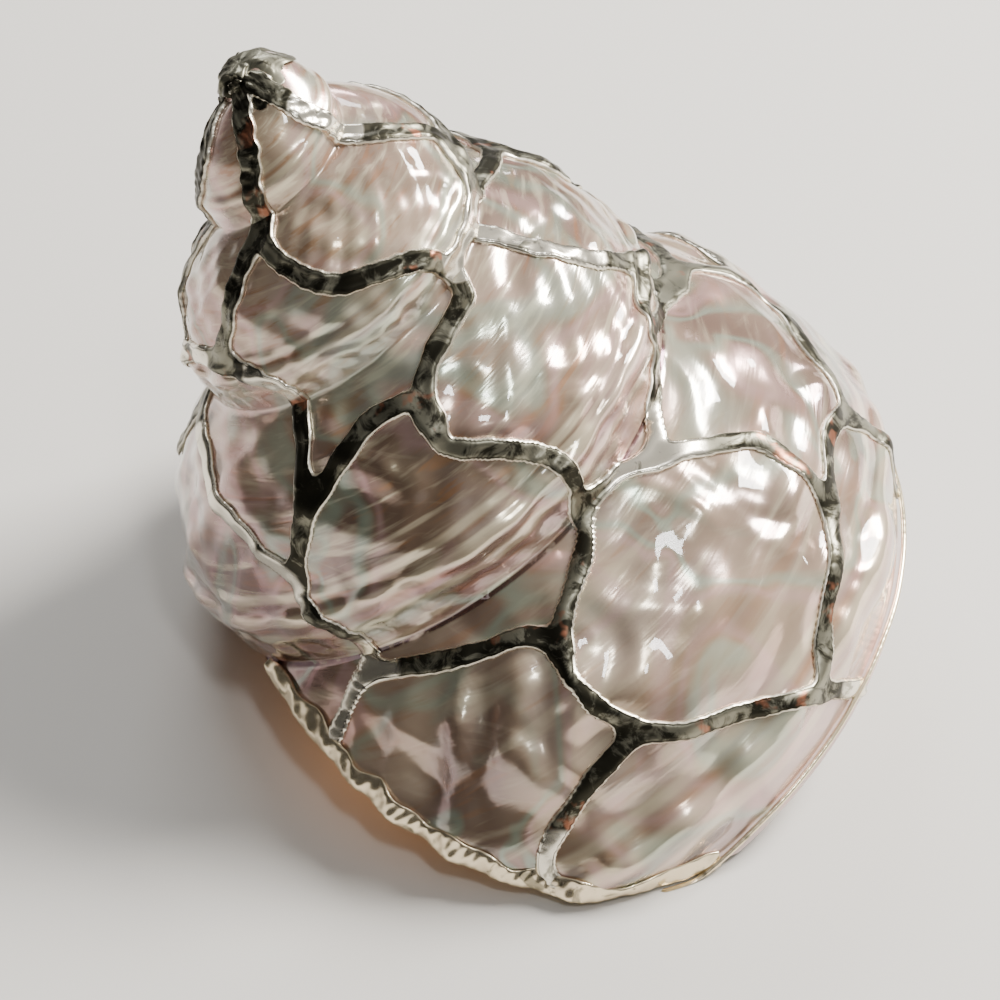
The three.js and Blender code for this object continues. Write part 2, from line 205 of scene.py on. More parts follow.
def build(name, patches, rubs=0):
    """One mesh object from patches in mm, welded where they touch and rubbed smooth a number of times."""
    offset = np.cumsum([0] + [len(p[0]) for p in patches])
    points = np.vstack([p[0] for p in patches]) * MM
    faces = np.vstack([p[1] + start for p, start in zip(patches, offset)])
    mesh = bpy.data.meshes.new(name)
    mesh.vertices.add(len(points))
    mesh.vertices.foreach_set("co", points.ravel())
    mesh.loops.add(faces.size)
    mesh.loops.foreach_set("vertex_index", faces.ravel().astype(np.int32))
    mesh.polygons.add(len(faces))
    mesh.polygons.foreach_set("loop_start", np.arange(0, faces.size, 4, dtype=np.int32))
    for layer, column in (("chart", 2), ("marks", 3)):
        values = np.vstack([p[column] for p in patches])[faces.ravel()]
        mesh.uv_layers.new(name=layer).data.foreach_set("uv", values.ravel().astype(np.float32))
    mesh.update(calc_edges=True)
    welded = bmesh.new()
    welded.from_mesh(mesh)
    bmesh.ops.remove_doubles(welded, verts=welded.verts, dist=2e-6)
    for _ in range(rubs):
        bmesh.ops.smooth_vert(welded, verts=welded.verts, factor=0.5,
                              use_axis_x=True, use_axis_y=True, use_axis_z=True)
    welded.to_mesh(mesh)
    welded.free()
    mesh.polygons.foreach_set("use_smooth", np.ones(len(mesh.polygons), bool))
    made = bpy.data.objects.new(name, mesh)
    bpy.context.scene.collection.objects.link(made)
    return made


# ---- Shader arithmetic -------------------------------------------------------------------------
# The finishes of the shell and of the silver are written as sums and products of sockets.
class Field:
    """A socket in a material, with arithmetic."""

    def __init__(self, tree, socket=None):
        self.tree, self.socket = tree, socket

    def node(self, kind, settings=None, inputs=None, output=0):
        """Any node: its type, its settings, its inputs, and which output is returned."""
        made = self.tree.nodes.new(kind)
        for key, value in (settings or {}).items():
            setattr(made, key, value)
        for key, value in (inputs or {}).items():
            if isinstance(value, Field):
                self.tree.links.new(value.socket, made.inputs[key])
            else:
                made.inputs[key].default_value = value
        return Field(self.tree, made.outputs[output])

    def math(self, operation, *values):
        return self.node("ShaderNodeMath", {"operation": operation}, dict(enumerate((self, *values))))

    def __add__(self, other):
        return self.math("ADD", other)

    def __mul__(self, other):
        return self.math("MULTIPLY", other)

    def __sub__(self, other):
        return self.math("SUBTRACT", other)

    def __rsub__(self, other):
        return self * -1.0 + other

    __radd__ = __add__
    __rmul__ = __mul__

    def ramp(self, low, high):
        """0 below low and 1 above high, with an S-curve between; low may be above high."""
        if low > high:
            return 1.0 - self.ramp(high, low)
        return self.node("ShaderNodeMapRange", {"interpolation_type": "SMOOTHSTEP"},
                         {0: self, 1: low, 2: high})

    def bell(self, middle, width):
        """A smooth hump of height 1 round middle."""
        return (self - middle).math("ABSOLUTE").ramp(width, 0.0)

    def mix(self, low, high):
        """A colour between two, with this socket as the share of the second."""
        return self.node("ShaderNodeMix", {"data_type": "RGBA"}, {0: self, 6: low, 7: high}, 2)

    def noise(self, scale, detail=3.0, roughness=0.55, distortion=0.0):
        """Cloudy noise about 0.5, with this socket as its place."""
        return self.node("ShaderNodeTexNoise", None, {"Vector": self, "Scale": scale, "Detail": detail,
                                                      "Roughness": roughness, "Distortion": distortion})


def new_material(name):
    """A material with its object coordinates, chart (turn, t) and marks."""
    material = bpy.data.materials.new(name)
    material.use_nodes = True
    tree = material.node_tree
    tree.nodes.clear()
    start = Field(tree)
    position = start.node("ShaderNodeTexCoord", output=3)
    layers = []
    for layer in ("chart", "marks"):
        pair = start.node("ShaderNodeUVMap", {"uv_map": layer})
        layers += [pair.node("ShaderNodeSeparateXYZ", None, {0: pair}, axis) for axis in (0, 1)]
    return material, position, layers


def finish_material(shader):
    """The material's last step: its shader goes to the output."""
    output = shader.tree.nodes.new("ShaderNodeOutputMaterial")
    shader.tree.links.new(shader.socket, output.inputs[0])


# ---- Shell -------------------------------------------------------------------------------------
# One natural shell, polished down to its mother of pearl. Its whorls are worn smooth, with creamy
# cords along each keel, and the last one is hollow and open at the mouth.
BASE_SAG, BASE_SWELL, BASE_SWELL_TURN, BASE_SWELL_WIDTH = -2.0, 10.0, 2.45, 0.17
CEILING_DROP, PILLAR_DROP, PILLAR_RADIUS = 64.0, 88.0, 6.0
MOUTH_FLOOR_TURN = 2.8
BASE_FROM, BASE_TO, BASE_SHARE = 0.95, 1.95, 0.4
WALL_ROWS = 300
FIRST_ROW = -445


def base_section(turn, q):
    """Radius and drop on the base: from the rim (q = 0) in to the pillar (1), swollen where it rests."""
    r, h = seam(turn + 1)
    foot = CEILING_DROP + (PILLAR_DROP - CEILING_DROP) * smooth(1.86, 2.14, turn)
    swell = BASE_SAG + BASE_SWELL * bell(turn, BASE_SWELL_TURN, BASE_SWELL_WIDTH)
    core = np.minimum(PILLAR_RADIUS - 1, 0.4 * r)
    return r + (core - r) * q, h + (foot - h) * q + swell * smooth(1.9, 2.1, turn) * 4 * q * (1 - q)


def floor_turn(share, q, start):
    """Turns of the base drawn back so that its last row lies on the lower edge of the mouth."""
    end = lip_turn(1.0) + (MOUTH_FLOOR_TURN - lip_turn(1.0)) * q
    return start + (end - start) * share


def ground_tip(points, depth=2.0):
    """The tip ground off square to the axis, where its cap goes on."""
    axis = POSE[:, 2]
    drop = -(points - TIP) @ axis
    return points - np.maximum(depth - drop, 0)[..., None] * axis


def shell_patches():
    """The wall from the tip to the lip, the base, the inside of the last whorl and the pillar."""
    turn, t = np.meshgrid(np.arange(FIRST_ROW, round(LAST_TURN * WALL_ROWS) + 1) / WALL_ROWS,
                          np.linspace(0, 1, 53), indexing="ij")
    turn = drawn_to_lip(turn, t)
    patches = [patch(on_table(ground_tip(surface(turn, t))), (turn, t), (0, 0))]

    share, q = np.meshgrid(np.linspace(0, 1, 241), np.linspace(0, 1, 31), indexing="ij")
    early = BASE_FROM + (BASE_TO - BASE_FROM) * share / BASE_SHARE
    late = floor_turn((share - BASE_SHARE) / (1 - BASE_SHARE), q, BASE_TO)
    turn = np.where(share < BASE_SHARE, early, late)
    patches.append(patch(on_table(place(*base_section(turn, q), turn)), (turn, 0.9 * q), (0, 0.4)))

    share, t = np.meshgrid(np.linspace(0, 1, 121), np.linspace(1, 0, 31), indexing="ij")
    turn = FILLED_TO + (lip_turn(t) - FILLED_TO) * share
    inner = place(*section(turn, t), turn) - WALL * wall_normal(turn, t)
    patches.append(patch(on_table(inner), (turn, t), (0, 1)))
    q = t
    turn = floor_turn(share, q, FILLED_TO)
    radius, drop = base_section(turn, q)
    patches.append(patch(on_table(place(radius, drop - WALL, turn)), (turn, q), (0, 1)))

    t, side = np.meshgrid(np.linspace(0, 1, 61), np.linspace(0, 1, 4), indexing="ij")
    edge = surface(lip_turn(t), t) - (WALL * side)[..., None] * wall_normal(lip_turn(t), t)
    patches.append(patch(on_table(edge), (lip_turn(t), t), (0, 1)))
    end = floor_turn(1.0, t, FILLED_TO)
    radius, drop = base_section(end, t)
    patches.append(patch(on_table(place(radius, drop - WALL * side, end)), (end, t), (0, 1)))

    turn = FILLED_TO + 0 * t
    radius, drop = section(turn, t)
    core_top = 0.8 * seam(FILLED_TO)[1]
    core_drop = core_top + (PILLAR_DROP - core_top) * t
    plug = place(radius + (5 - radius) * side, drop + (core_drop - drop) * side, turn)
    patches.append(patch(on_table(plug)[::-1], (turn, t), (0, 1)))

    outline = curve([(0.05, 88.6), (4, 88), (6, 85), (6, 70), (6, 58), (10, 52), (17, 46)], 0.1)
    around, along = np.meshgrid(np.linspace(0, 1, 49), np.arange(len(outline)), indexing="ij")
    twist = 0.35 * np.sin(2 * np.pi * (around + outline[along, 1] / 26))
    post = place(outline[along, 0] + twist * (along > 8), outline[along, 1], around)
    patches.append(patch(on_table(post), (around, 0.5), (0, 1)))
    return patches


shell = build("turban_shell", shell_patches())

nacre, position, (turn, t, _, inside) = new_material("nacre")
place_on_wall = turn.node("ShaderNodeCombineXYZ", None, {0: turn * 15.0 + t * 2.0, 1: t * 15.0, 2: 0.0})
across_wall = turn.node("ShaderNodeCombineXYZ", None, {0: turn * 120.0 + t * 26.0, 1: t * 5.0, 2: 0.0})
clouds = position.noise(30.0, 2.0, 0.55, 0.6)
patches_of_green = position.noise(44.0, 2.0, 0.5, 1.0)
patches_of_lilac = position.noise(34.0, 2.0, 0.5, 1.4)
streaks = place_on_wall.noise(1.0, 3.0, 0.55, 0.5)
growth_lines = across_wall.noise(1.0, 2.0, 0.6)
grain = position.noise(420.0, 3.0)
cords = t.bell(0.70, 0.035) + t.bell(0.79, 0.045) + t.bell(0.87, 0.035)

MAUVE = (0.26, 0.165, 0.115, 1)
BEIGE = (0.60, 0.44, 0.31, 1)
CREAM = (0.88, 0.75, 0.53, 1)
AMBER = (0.44, 0.20, 0.08, 1)
# The next two are the tints of a painted iridescent sheen, not colours of the shell itself.
PAINTED_SHEEN_MINT = (0.42, 0.72, 0.56, 1)
PAINTED_SHEEN_ROSE = (0.84, 0.50, 0.52, 1)
LILAC = (0.70, 0.56, 0.51, 1)
SEAM = (0.10, 0.022, 0.012, 1)
PEARL = (0.86, 0.80, 0.76, 1)
colour = clouds.ramp(0.36, 0.62).mix(MAUVE, BEIGE)
colour = (patches_of_lilac.ramp(0.46, 0.7) * 0.4).mix(colour, LILAC)
later = turn.ramp(2.5, 2.2) * 0.4 + 0.6
colour = (streaks.ramp(0.5, 0.68) * 0.7 * later).mix(colour, CREAM)
colour = (streaks.ramp(0.46, 0.34) * 0.6 * later).mix(colour, AMBER)
colour = (cords.ramp(0.1, 0.9) * (streaks * 0.9 + 0.25)).mix(colour, CREAM)
colour = (t.bell(0.745, 0.025) * clouds.ramp(0.4, 0.6) * 0.6).mix(colour, AMBER)
flange = t.ramp(0.82, 0.95) * turn.ramp(2.3, 2.5)
colour = (flange * 0.7).mix(colour, LILAC)
colour = (growth_lines.ramp(0.56, 0.72) * 0.12).mix(colour, CREAM)
# Painted iridescent sheen: fixed mint and rose tints in the colour, standing in for the colours the pearly
# sheen shows in its highlights.
colour = (patches_of_green.bell(0.46, 0.05) * 0.3).mix(colour, PAINTED_SHEEN_MINT)
colour = (patches_of_green.bell(0.54, 0.05) * 0.28).mix(colour, PAINTED_SHEEN_ROSE)
upper_seam = t.bell(0.0, 0.016) * turn.ramp(2.0, 2.2)
lower_seam = t.bell(1.0, 0.012) * turn.ramp(1.0, 1.2) * turn.ramp(1.96, 1.94)
near_seam = upper_seam + lower_seam
colour = (near_seam.ramp(0.1, 0.8) * grain.ramp(0.3, 0.5) * 0.9).mix(colour, SEAM)
colour = (inside * 0.8).mix(colour, PEARL)

lumps = position.noise(72.0, 1.0, 0.4, 0.9)
height = growth_lines * 0.01 + lumps * 2.9 + position.noise(165.0, 1.0) * 0.3
height = height + streaks * 0.15 * turn.ramp(0.7, 1.2)
bump = height.node("ShaderNodeBump", None, {"Height": height, "Distance": MM, "Strength": 0.9})
roughness = 0.14 + clouds * 0.12
layers = []
for film in (320.0, 470.0):
    layers.append(colour.node("ShaderNodeBsdfPrincipled", None, {
        "Base Color": colour, "Roughness": roughness, "Metallic": 0.55, "Normal": bump, "IOR": 1.6,
        "Coat Weight": 1.0, "Coat Roughness": 0.04, "Coat IOR": 1.55,
        "Thin Film Thickness": film, "Thin Film IOR": 1.9,
    }))
finish_material(clouds.node("ShaderNodeMixShader", None, {
    0: patches_of_green.ramp(0.4, 0.6), 1: layers[0], 2: layers[1]}))
shell.data.materials.append(nacre)
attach(shell, "root")
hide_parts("shell")


# ---- Silver net --------------------------------------------------------------------------------
# Hand-cut silver strips laid on the shell and soldered where they meet, so that each joint is a
# small web, with a crumpled silver cap over the tip. The silver is hammered and tarnished.
BAND_HALF = 1.4
WEB = 0.5
REACH = 6.0
EDGE_HEIGHT, EDGE_RISE, EDGE_ROUNDING, MIDDLE_DIP = 0.22, 0.44, 0.5, 0.12
# The middle line of each strip: turn and t, where t past 1 carries on over the next whorl.
BANDS = [
    [[-0.17, 0.02], [-0.17, 0.45], [-0.15, 0.8], [-0.14, 1.06]],
    [[0.86, 0.06], [0.83, 0.27], [0.78, 0.53], [0.74, 0.62], [0.7, 0.74], [0.67, 0.93]],
    [[0.86, 0.06], [0.89, 0.2], [0.91, 0.45], [0.93, 0.67]],
    [[0.93, 0.67], [0.98, 0.67], [1.03, 0.75]],
    [[0.93, 0.67], [0.9, 0.76], [0.87, 0.88], [0.86, 1.1], [0.86, 1.37]],
    [[1.86, 0.37], [1.83, 0.26], [1.8, 0.18], [1.77, 0.2], [1.76, 0.3]],
    [[1.86, 0.37], [1.87, 0.5], [1.88, 0.7], [1.86, 0.9], [1.86, 1.04]],
    [[1.88, 0.62], [1.92, 0.4], [1.95, 0.3], [1.98, 0.16], [2.04, 0.06]],
    [[0.04, 0.02], [-0.02, 0.36], [0.03, 0.79], [0.06, 1.15], [0.05, 1.45], [0.03, 1.75]],
    [[-0.28, 0.12], [-0.33, 0.65], [-0.37, 1], [-0.42, 1.32], [-0.45, 1.58], [-0.44, 1.76]],
    [[0.56, 0.76], [0.58, 0.86], [0.62, 0.9], [0.67, 0.93]],
    [[0.59, 0.86], [0.56, 0.96], [0.51, 1.08], [0.46, 1.2]],
    [[0.62, 0.9], [0.61, 1.12], [0.6, 1.35], [0.56, 1.73]],
    [[1.56, 0.73], [1.59, 0.8], [1.61, 0.95], [1.66, 1.07]],
    [[0.67, 0.93], [0.68, 1.06], [0.72, 1.1], [0.75, 1.17], [0.76, 1.3]],
    [[1.76, 0.3], [1.76, 0.42], [1.73, 0.58], [1.71, 0.75], [1.71, 0.97]],
    [[1.71, 0.97], [1.68, 1.01], [1.66, 1.07]],
    [[2.66, 0.07], [2.64, 0.16], [2.62, 0.3], [2.62, 0.44], [2.62, 0.58]],
    [[1.71, 0.97], [1.72, 1.05], [1.75, 1.15], [1.76, 1.22]],
    [[2.76, 0.22], [2.77, 0.14], [2.8, 0.1], [2.83, 0.07], [2.86, 0.04]],
    [[2.86, 0.04], [2.87, 0.08], [2.885, 0.2]],
    [[2.76, 0.22], [2.76, 0.34], [2.75, 0.5]],
    [[2.75, 0.5], [2.775, 0.55], [2.8, 0.65], [2.803, 0.75]],
    [[2.75, 0.5], [2.735, 0.58], [2.71, 0.68], [2.68, 0.83]],
    [[2.68, 0.83], [2.66, 0.97]],
    [[2.68, 0.83], [2.665, 0.73], [2.64, 0.65], [2.62, 0.58]],
    [[2.62, 0.58], [2.59, 0.53], [2.57, 0.6], [2.56, 0.81], [2.56, 0.96]],
    [[1.6, 0.84], [1.53, 1.06], [1.5, 1.15], [1.5, 1.33]],
    [[2.5, 0.33], [2.51, 0.44], [2.54, 0.48], [2.57, 0.62]],
    [[1.56, 0.73], [1.53, 0.9], [1.525, 1.07]],
    [[-0.75, 0.5], [-0.74, 0.95], [-0.75, 1.3]],
    [[0.25, 0.3], [0.33, 0.5], [0.42, 0.55], [0.5, 0.66], [0.56, 0.76]],
    [[0.25, 0.3], [0.17, 0.55], [0.12, 0.9], [0.1, 1.2], [0.08, 1.5], [0.03, 1.75]],
    [[0.46, 1.2], [0.4, 1.22], [0.34, 1.28], [0.3, 1.35]],
    [[0.3, 1.35], [0.27, 1], [0.26, 0.65], [0.25, 0.3]],
    [[1.3, 0.35], [1.27, 0.55], [1.22, 0.8]],
    [[1.22, 0.8], [1.15, 0.7], [1.09, 0.68], [1.03, 0.75]],
    [[1.46, 0.2], [1.48, 0.45], [1.45, 0.75], [1.44, 1.15]],
    [[1.44, 1.15], [1.48, 1.12], [1.52, 1.07]],
    [[1.22, 0.8], [1.21, 1.05], [1.2, 1.3]],
    [[2.44, 0.15], [2.41, 0.28], [2.36, 0.42]],
    [[2.36, 0.42], [2.3, 0.36], [2.25, 0.28], [2.2, 0.3]],
    [[2.36, 0.42], [2.37, 0.62], [2.36, 0.82], [2.36, 0.97]],
    [[2.36, 0.42], [2.43, 0.37], [2.5, 0.33]],
    [[2.2, 0.3], [2.18, 0.46], [2.14, 0.62]],
    [[2.04, 0.06], [2.06, 0.3], [2.09, 0.5], [2.14, 0.62]],
    [[2.14, 0.62], [2.15, 0.8], [2.16, 0.92]],
    [[1.03, 0.75], [1.05, 0.9], [1.04, 1.06]],
]
# Places where the silver is rubbed bright: turn, t and how far round in mm.
RUBBED = [
    (2.86, 0.06, 5), (2.875, 0.1, 5), (2.66, 0.97, 5), (2.64, 0.96, 4), (0.6, 1.3, 7), (0.61, 1.0, 5),
    (1.66, 1.05, 7), (1.03, 0.75, 4), (0.97, 0.67, 3), (1.93, 0.42, 6), (1.9, 0.64, 5), (2.8, 0.7, 5),
    (-0.34, 0.7, 3.5), (-0.37, 0.95, 3), (0.2, 1.0, 8), (2.47, 0.35, 8), (2.68, 0.12, 5), (0.87, 0.8, 4),
    (1.98, 0.2, 6), (0.66, 0.93, 3),
]
NET_ROWS = 430
NET_COLUMNS = 100
CAP_DROP = 3.6
HEM_FROM = 0.86


def net_distance(turn, t):
    """Distance in mm from the middle of the nearest strip, rounded off where strips meet.

    The distances are joined as -web * log(sum(exp(-distance / web))), which fills the corners.
    """
    points = surface(turn, t)
    total = np.full(turn.shape, 1e-12)
    for run in BANDS:
        line = curve(run, 0.08)
        middle = line[:, 0].mean()
        radius = seam(middle + 0.5)[0]
        margin = REACH / np.array([2 * np.pi * radius, LAST_WIDTH * whorl_size(middle)]) + 0.02
        low, high = line.min(axis=0) - margin, line.max(axis=0) + margin
        marks = on_wall(line[:, 0], line[:, 1])
        for whorl in range(-1, 3):
            here = np.stack([turn - whorl, t + whorl], -1)
            near = ((here > low) & (here < high)).all(axis=-1)
            if near.any():
                gap = points[near][:, None, :] - marks[None, :, :]
                distance = np.sqrt((gap**2).sum(-1).min(axis=1))
                total[near] += np.exp(-distance / WEB)
    return -WEB * np.log(total)


def corners(grid):
    """The values of a grid at the four corners of each of its cells."""
    return np.stack([grid[:-1, :-1], grid[1:, :-1], grid[1:, 1:], grid[:-1, 1:]], -1)


def net_patches():
    """The strips: cells of the wall's grid within the net, their outline moved onto its edge."""
    turn, t = np.meshgrid(np.arange(int(-1.2 * NET_ROWS), int(LAST_TURN * NET_ROWS) + 1) / NET_ROWS,
                          np.linspace(0, 1, NET_COLUMNS + 1), indexing="ij")
    turn = drawn_to_lip(turn, t)
    ragged = waves(turn, t, [(0.12, 23, 5, 0.3), (0.05, 47, -7, 1.1)])
    field = net_distance(turn, t) - BAND_HALF - ragged
    kept = corners(field).sum(axis=-1) < 0
    drop = section(turn, t)[1]
    kept &= drop[:-1, :-1] > CAP_DROP - 1.5
    rows, columns = field.shape
    touched = np.zeros((rows, columns, 2), bool)
    for di in (0, 1):
        for dj in (0, 1):
            touched[di:rows - 1 + di, dj:columns - 1 + dj, 0] |= kept
            touched[di:rows - 1 + di, dj:columns - 1 + dj, 1] |= ~kept
    outline = touched.all(axis=-1)
    row_step, column_step = np.gradient(place(*section(turn, t), turn), axis=(0, 1))
    row_row = (row_step**2).sum(-1) + 1e-6
    column_column = (column_step**2).sum(-1) + 1e-6
    row_column = (row_step * column_step).sum(-1)
    slope_row, slope_column = np.gradient(field)
    inner = np.ones(columns)
    inner[[0, -1]] = 0
    step_row = column_column * slope_row - row_column * slope_column * inner
    step_column = (row_row * slope_column - row_column * slope_row) * inner
    area_squared = row_row * column_column - row_column**2
    climb = slope_row * step_row + slope_column * step_column + 0.05 * area_squared
    step_row = np.clip(-field * step_row / climb, -1.5, 1.5) * outline
    step_column = np.clip(-field * step_column / climb, -1.5, 1.5) * outline
    turn_per_row, turn_per_column = np.gradient(turn)
    moved_turn = turn + step_row * turn_per_row + step_column * turn_per_column
    moved_t = np.clip(t + step_column / NET_COLUMNS, 0, 1)
    edge = np.where(outline, 0.0, np.maximum(-field, 0.05))
    dents = waves(moved_turn, moved_t, [(0.05, 31, 7, 0.2), (0.04, 19, 11, 4.1)])
    shoulder = np.sqrt(np.maximum(1 - (1 - np.minimum(edge / EDGE_ROUNDING, 1)) ** 2, 0))
    top = EDGE_HEIGHT + EDGE_RISE * shoulder + dents * shoulder - MIDDLE_DIP * smooth(0.5, 1.3, edge)
    upper = on_table(surface(moved_turn, moved_t, top)).reshape(-1, 3)
    lower = on_table(surface(moved_turn, moved_t, -0.05)).reshape(-1, 3)
    index = np.arange(rows * columns).reshape(rows, columns)
    cell_corners = corners(index)
    cells = cell_corners[kept]
    beyond = np.pad(kept, 1)
    sides = []
    for di, dj, start, end in ((-1, 0, 3, 0), (1, 0, 1, 2), (0, -1, 0, 1), (0, 1, 2, 3)):
        beside = beyond[1 + di:rows + di, 1 + dj:columns + dj]
        rim = cell_corners[kept & ~beside][:, [start, end]]
        if dj:
            at_seam = np.isin(rim % columns, (0, columns - 1)).all(axis=-1)
            rim = rim[~at_seam]
        a, b = rim.T
        sides.append(np.stack([b, a, a + rows * columns, b + rows * columns], -1))
    faces = np.vstack([cells, cells[:, ::-1] + rows * columns, *sides])
    points = np.vstack([upper, lower])
    rubbed = np.zeros(len(upper))
    for at_turn, at_t, reach in RUBBED:
        away = np.linalg.norm(upper - on_wall(at_turn, at_t), axis=-1)
        rubbed = np.maximum(rubbed, smooth(1.3 * reach, 0.5 * reach, away))
    chart = np.tile(np.stack([moved_turn.ravel(), moved_t.ravel()], -1), (2, 1))
    marks = np.tile(np.stack([edge.ravel(), rubbed], -1), (2, 1))
    used, faces = np.unique(faces, return_inverse=True)
    return [(points[used], faces.reshape(-1, 4), chart[used], marks[used])]


def spire_radius(share, drop):
    """The largest radius of the spire at or above a drop, at a share of a turn."""
    radius = np.zeros(np.broadcast(share, drop).shape)
    for whorl in (-2, -1, 0):
        for t in np.linspace(0, 1, 60):
            r, h = section(share + whorl, t)
            radius = np.where(h <= drop, np.maximum(radius, r), radius)
    return radius


def cap_patch():
    """A thin bell over the spire: its crumples are sines round it, and its hem is tucked in."""
    share, s = np.meshgrid(np.linspace(0, 1, 121), np.linspace(0, 1, 44), indexing="ij")
    fold = np.minimum(s / HEM_FROM, 1)
    tuck = smooth(HEM_FROM, 1.0, s)
    hem = 0.5 * np.sin(6 * np.pi * share) + 0.35 * np.sin(16 * np.pi * share + 1)
    drop = (CAP_DROP + 0.6 + hem) * fold**1.4 + 1.4 * (1 - fold) ** 2
    crumple = 0.22 * np.sin(10 * np.pi * share + 4 * fold) + 0.12 * np.sin(22 * np.pi * share - 7 * fold + 1)
    raised = 0.35 + crumple * smooth(0.05, 0.5, fold) - 0.45 * tuck
    radius = (spire_radius(share, np.maximum(drop, 1.3)) + raised) * smooth(-0.05, 0.3, fold) * (s > 0)
    return patch(place(radius, drop - 0.35 * tuck, share)[::-1], (share, 0), (0.8, 0))


net = build("silver_bands", net_patches() + [cap_patch()], rubs=2)


def silver_material(name, coat=0.0):
    """Tarnished silver: bright where rubbed, with a painted highlight along its edges, and mottled olive
    black between.

    A coat above 0 is the weight of the warm film that gilding leaves.
    """
    material, position, (_, _, edge, rubbed) = new_material(name)
    bright = (0.96, 0.90, 0.76, 1)
    dull = (0.27, 0.26, 0.20, 1)
    black = (0.035, 0.033, 0.024, 1)
    copper = (0.42, 0.17, 0.10, 1)
    broad = position.noise(60.0, 2.0, 0.5, 0.5)
    mottle = position.noise(300.0, 4.0, 0.66, 0.8)
    spots = position.noise(210.0, 3.0, 0.6)
    shine = (rubbed * 1.3 + broad * 0.7 - 0.35).ramp(0.25, 0.7)
    colour = (mottle + broad * 0.5).ramp(0.66, 0.82).mix(dull, black)
    colour = (spots.ramp(0.60, 0.68) * 0.7).mix(colour, copper)
    colour = shine.mix(colour, (mottle.ramp(0.57, 0.66) * 0.85).mix(bright, dull))
    colour = (edge.bell(0.36, 0.14) * 0.7).mix(colour, black)
    # Painted highlight: a bright line along each edge, where the raised edge catches the light.
    colour = (edge.ramp(0.24, 0.12) * 0.85).mix(colour, bright)
    height = mottle * 0.04 + position.noise(120.0, 1.0) * 0.12 - edge.ramp(0.2, 0.42) * 0.08
    bump = height.node("ShaderNodeBump", None, {"Height": height, "Distance": MM, "Strength": 0.8})
    finish_material(colour.node("ShaderNodeBsdfPrincipled", None, {
        "Base Color": colour, "Metallic": 1.0, "Roughness": 0.38 - shine * 0.14, "Normal": bump,
        "Coat Weight": coat, "Coat Tint": (1.0, 0.86, 0.62, 1)}))
    return material


silver = silver_material("silver")
net.data.materials.append(silver)
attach(net, "root")
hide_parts("silver_net")


# ---- Lip binding -------------------------------------------------------------------------------
# A strip of soft silver folded over the lip and pressed on with the fingers, which has left it
# wrinkled. A thin wire with faint beads is soldered on where the strip ends, and follows the rim.
# Both are washed with gold.
WIRE_AT = 0.962
WIRE_RADIUS, BEAD_RISE, BEAD_LENGTH, WIRE_TAPER = 0.32, 0.02, 1.1, 0.8


def lip_frames(t):
    """Edge points of the lip, the way out past them and the wall's outward direction."""
    turn = lip_turn(t)
    edge = on_wall(turn, t)
    along = unit(on_wall(lip_turn(t + 0.005), t + 0.005) - on_wall(lip_turn(t - 0.005), t - 0.005))
    normal = wall_normal(turn, t)
    outward = unit(np.cross(along, normal))
    ahead = on_wall(turn + 0.01, t) - edge
    return edge, outward * np.sign((outward * ahead).sum(-1, keepdims=True)), normal


def rounded(outline, times=2):
    """A closed outline with its corners cut, by taking points a quarter of the way along each side."""
    for _ in range(times):
        after = np.roll(outline, -1, axis=0)
        outline = np.stack([0.75 * outline + 0.25 * after, 0.25 * outline + 0.75 * after], 1).reshape(-1, 2)
    return outline


def channel_patch():
    """The folded strip: a C-shaped outline carried along the lip, wrinkled by sines along it."""
    outline = rounded(np.array([(-2.0, 0.1), (-2.0, 0.45), (-1.0, 0.6), (0.4, 0.6), (0.9, 0.2), (0.9, -2.4),
                                (0.3, -2.9), (-2.3, -2.9), (-2.3, -2.4), (0.3, -2.35), (0.3, 0.12)]))
    t, k = np.meshgrid(np.linspace(0.015, 0.975, 340), np.arange(len(outline)), indexing="ij")
    edge, outward, normal = lip_frames(t)
    x, y = outline[k, 0], outline[k, 1]
    ragged = 0.45 * np.sin(31 * t) + 0.3 * np.sin(67 * t + 1)
    x = x + ragged * smooth(0.3, -2.5, x)
    wrinkle = 0.11 * np.sin(47 * t + 1.3 * x) + 0.07 * np.sin(130 * t - 1.6 * x + 1)
    wrinkle = wrinkle + 0.05 * np.sin(290 * t + 2 * x)
    y = y + wrinkle * smooth(0, 0.8, y) + (relief(lip_turn(t), t) * (y > -1))
    x = x + wrinkle * smooth(0.3, 1.1, x)
    taper = smooth(0.01, 0.04, t) * smooth(0.99, 0.95, t)
    x = x * (0.6 + 0.4 * taper)
    points = edge + x[..., None] * outward + y[..., None] * normal
    return patch(on_table(points)[:, ::-1], (t, 0.5), (0.8, 1), closed=True)


def wire_patch():
    """The wire: a tube along the rim, faintly beaded and drawn to a point at both ends."""
    turns = np.linspace(2.775, 2.18, 1000)
    rim = WIRE_AT + 0 * turns
    outward = wall_normal(turns, rim)
    path = surface(turns, rim, 0.55) + 0.5 * outward * smooth(2.72, 2.78, turns)[:, None]
    length = np.concatenate([[0], np.cumsum(np.linalg.norm(np.diff(path, axis=0), axis=-1))])
    along = unit(np.gradient(path, axis=0))
    side = unit(np.cross(along, outward))
    up = np.cross(side, along)
    beads = WIRE_RADIUS + BEAD_RISE * np.abs(np.sin(np.pi * length / BEAD_LENGTH))
    radius = beads * smooth(0, WIRE_TAPER, length) * smooth(length[-1], length[-1] - WIRE_TAPER, length)
    angle = np.linspace(0, 2 * np.pi, 12, endpoint=False)
    ring = np.cos(angle)[None, :, None] * side[:, None] + np.sin(angle)[None, :, None] * up[:, None]
    points = path[:, None] + radius[:, None, None] * ring
    return patch(on_table(points)[:, ::-1], (turns[:, None], 0.5), (0.8, 1), closed=True)


binding = build("lip_silver", [channel_patch(), wire_patch()])
gilt = silver_material("gilt_silver", 0.6)
binding.data.materials.append(gilt)
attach(binding, "root")
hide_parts("lip_binding")


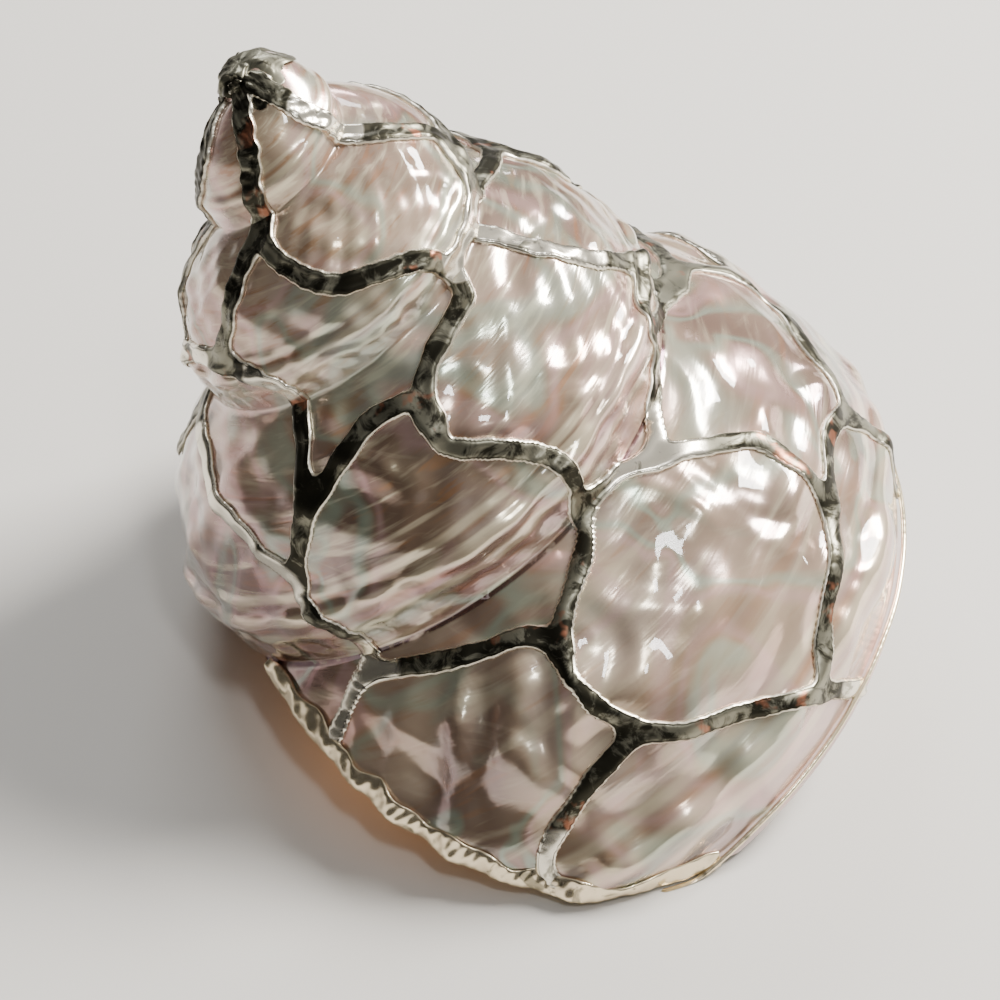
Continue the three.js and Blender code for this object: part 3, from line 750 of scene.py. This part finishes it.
# ---- Floor, light and camera -------------------------------------------------------------------
# A pale seamless floor, a broad soft light from the upper right, window-shaped lights that the
# polish mirrors, and a long lens that looks down at the shell from the front.
floor_mesh = bpy.data.meshes.new("floor")
floor_mesh.from_pydata([(-4, -4, 0), (4, -4, 0), (4, 4, 0), (-4, 4, 0)], [], [(0, 1, 2, 3)])
floor = bpy.data.objects.new("floor", floor_mesh)
bpy.context.scene.collection.objects.link(floor)
paper, _, _ = new_material("floor_paper")
finish_material(Field(paper.node_tree).node("ShaderNodeBsdfPrincipled", None, {
    "Base Color": (0.585, 0.57, 0.545, 1), "Roughness": 0.6}))
floor_mesh.materials.append(paper)

world = bpy.data.worlds.new("studio")
world.use_nodes = True
bpy.context.scene.world = world
BRIGHT_SIDE = (0.55, 0.15, 0.82)
sky = Field(world.node_tree)
direction = sky.node("ShaderNodeTexCoord")
towards = direction.node("ShaderNodeVectorMath", {"operation": "DOT_PRODUCT"},
                         {0: direction, 1: BRIGHT_SIDE}, 1)
background = world.node_tree.nodes["Background"]
world.node_tree.links.new((towards.ramp(-0.1, 1.0) * 0.42 + 0.06).socket, background.inputs[1])
background.inputs[0].default_value = (1.0, 0.98, 0.94, 1)


def area_light(name, spot, target, size, power, colour=(1, 1, 1)):
    """A rectangular light at spot, facing target."""
    lamp = bpy.data.lights.new(name, "AREA")
    lamp.shape = "RECTANGLE"
    lamp.size, lamp.size_y = size
    lamp.energy = power
    lamp.color = colour
    made = bpy.data.objects.new(name, lamp)
    bpy.context.scene.collection.objects.link(made)
    away = Vector(spot) - Vector(target)
    made.matrix_world = Matrix.Translation(spot) @ away.to_track_quat("Z", "Y").to_matrix().to_4x4()


area_light("key", (0.5, 0.22, 0.56), (0, 0, 0.04), (0.32, 0.24), 21.0, (1.0, 0.96, 0.90))
area_light("window", (0.16, -0.42, 0.75), (0, 0, 0.04), (0.08, 0.14), 1.5)
area_light("back", (-0.1, 0.6, 0.5), (0, 0, 0.03), (0.4, 0.12), 2.5)
glow = bpy.data.lights.new("glow_through_the_shell", "POINT")
glow.energy = 0.0045
glow.color = (1.0, 0.5, 0.24)
glow.shadow_soft_size = 0.008
inside_mouth = bpy.data.objects.new("glow_through_the_shell", glow)
inside_mouth.location = (-0.018, -0.022, 0.014)
bpy.context.scene.collection.objects.link(inside_mouth)

lens = bpy.data.cameras.new("camera")
lens.lens = 117.3
lens.sensor_width = 36
lens.clip_start = 0.01
camera = bpy.data.objects.new("camera", lens)
bpy.context.scene.collection.objects.link(camera)
camera.matrix_world = Matrix((
    (0.9992, 0.0359, -0.0049, -0.0069),
    (-0.0271, 0.6475, -0.7615, -0.3087),
    (-0.0241, 0.7610, 0.6481, 0.2842),
    (0, 0, 0, 1)))
bpy.context.scene.camera = camera
